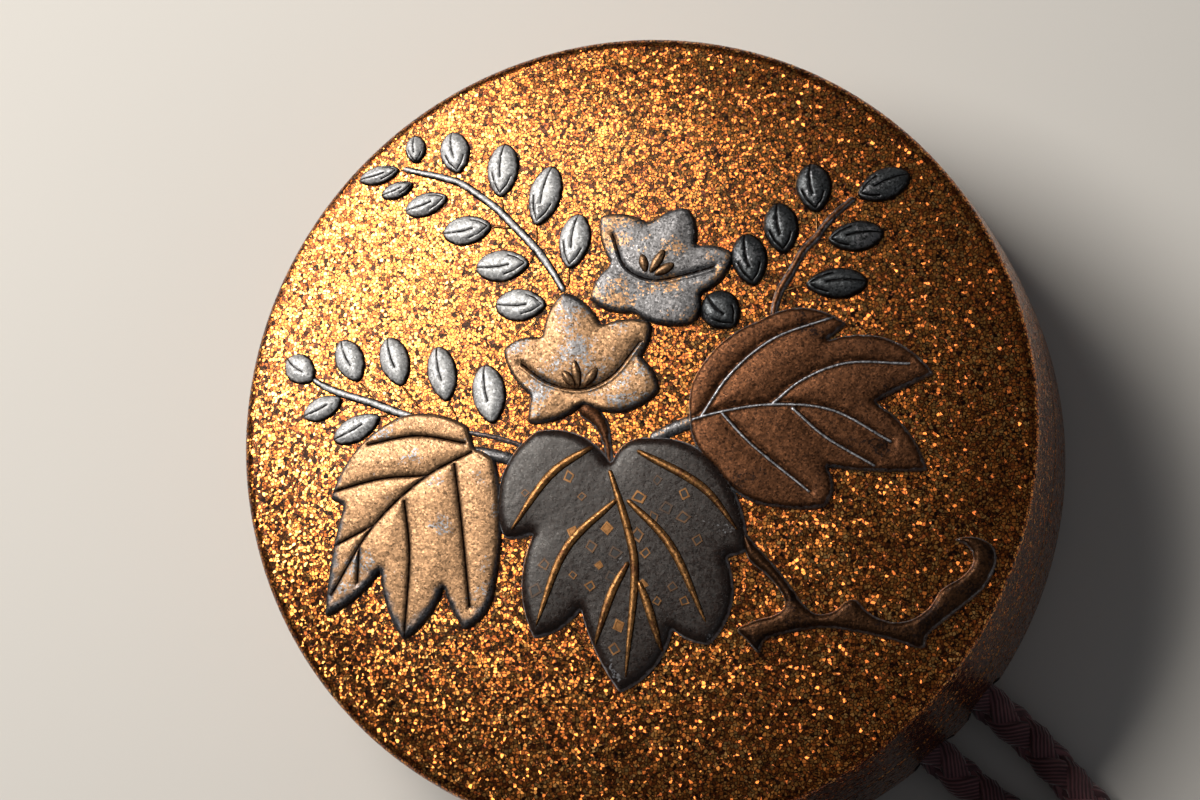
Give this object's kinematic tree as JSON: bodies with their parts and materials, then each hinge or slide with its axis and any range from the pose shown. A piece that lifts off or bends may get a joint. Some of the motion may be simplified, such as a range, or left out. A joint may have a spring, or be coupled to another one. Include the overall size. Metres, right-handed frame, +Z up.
{
  "type": "manju netsuke case",
  "caption": "Round lacquered case of an inro set: a domed lid with raised paulownia leaves, flowers and buds over a flat-backed base, on a doubled braided cord.",
  "frame": {"origin": "middle of the flat back that the case lies on", "axes": "+Z up through the middle of the face, +Y towards the top of the design, +X towards its right"},
  "size_m": [0.0475, 0.0646, 0.0147],
  "materials": {
    "lacquer": "dense gold flakes under clear amber lacquer, satin",
    "relief_silver": "silver powder lacquer, raised and engraved, softly burnished",
    "relief_gold": "matte gold powder lacquer, raised and engraved",
    "relief_pewter": "charcoal and dark silver powder lacquer, raised",
    "lacquer_inside": "plain black-brown lacquer, satin",
    "cord": "braided silk, dull mauve brown"
  },
  "bodies": {
    "root": {"lid": "lacquer", "base": "lacquer", "cord_upper": "cord", "cord_lower": "cord", "cord_coil": "cord", "cord_upper_tail": "cord", "cord_lower_tail": "cord", "end_knot": "cord", "stop_knot": "cord"}
  },
  "joints": []
}
